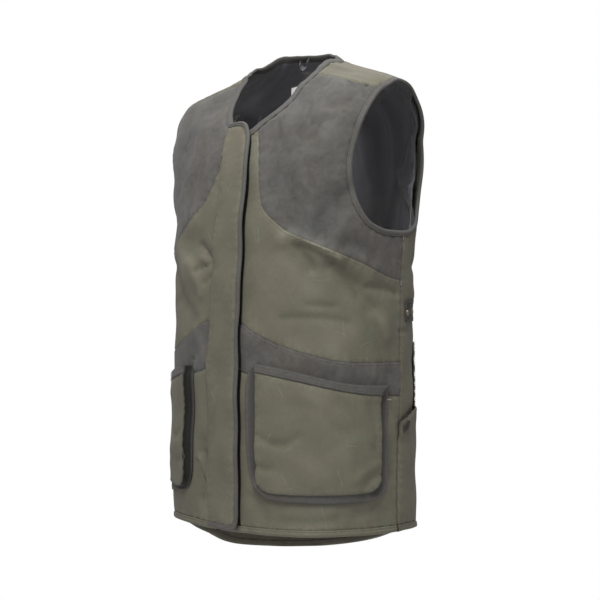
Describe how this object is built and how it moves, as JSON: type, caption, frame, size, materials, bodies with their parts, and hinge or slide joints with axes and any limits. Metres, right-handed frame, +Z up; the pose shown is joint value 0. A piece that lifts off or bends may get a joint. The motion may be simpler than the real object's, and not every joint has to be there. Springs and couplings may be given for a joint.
{
  "type": "gilet",
  "caption": "Long sleeveless gilet in waxed cotton, V-necked, with a lapped placket, shoulder patches, bellows pockets and a back game pocket, filled out as worn.",
  "frame": {"origin": "on the wearer's midline, level with the high point of the shoulders, where the wearer's shoulders carry the gilet", "axes": "+Z up, -Y the way the front faces, +X towards the wearer's left"},
  "size_m": [0.4086, 0.3041, 0.7757],
  "materials": {
    "waxed_cotton": "waxed cotton, olive, dry hand",
    "brushed_grey": "brushed grey cloth with a short nap",
    "grey_binding": "bias binding, topstitched",
    "black_lining": "smooth woven lining",
    "brown_leather": "dark grained leather",
    "white_label": "woven label, blank",
    "zip_tape": "woven zip tape",
    "antique_brass": "dull plated studs"
  },
  "bodies": {
    "root": {"adjuster_stud_left_1": "antique_brass", "adjuster_stud_left_2": "antique_brass", "adjuster_stud_right_1": "antique_brass", "adjuster_stud_right_2": "antique_brass", "armhole_binding_left": "grey_binding", "armhole_binding_right": "grey_binding", "back": "waxed_cotton", "chest_patch_left": "brushed_grey", "chest_patch_right": "brushed_grey", "front_lower_left": "waxed_cotton", "front_lower_right": "waxed_cotton", "front_upper_left": "waxed_cotton", "front_upper_right": "waxed_cotton", "front_zip": "zip_tape", "game_pocket": "waxed_cotton", "hanging_loop": "black_lining", "hem_binding_back": "waxed_cotton", "hem_binding_front_left": "waxed_cotton", "hem_binding_front_right": "waxed_cotton", "lining_back": "black_lining", "lining_front_left": "black_lining", "lining_front_right": "black_lining", "neck_binding": "grey_binding", "neck_label": "white_label", "placket": "waxed_cotton", "placket_binding": "grey_binding", "pocket_binding_left": "grey_binding", "pocket_binding_right": "grey_binding", "pocket_face_left": "waxed_cotton", "pocket_face_right": "waxed_cotton", "pocket_gusset_left": "waxed_cotton", "pocket_gusset_right": "waxed_cotton", "pocket_mouth_patch_left": "brown_leather", "pocket_mouth_patch_right": "brown_leather", "waist_adjuster_left": "brown_leather", "waist_adjuster_right": "brown_leather", "waist_band_left": "brushed_grey", "waist_band_right": "brushed_grey"}
  },
  "joints": []
}
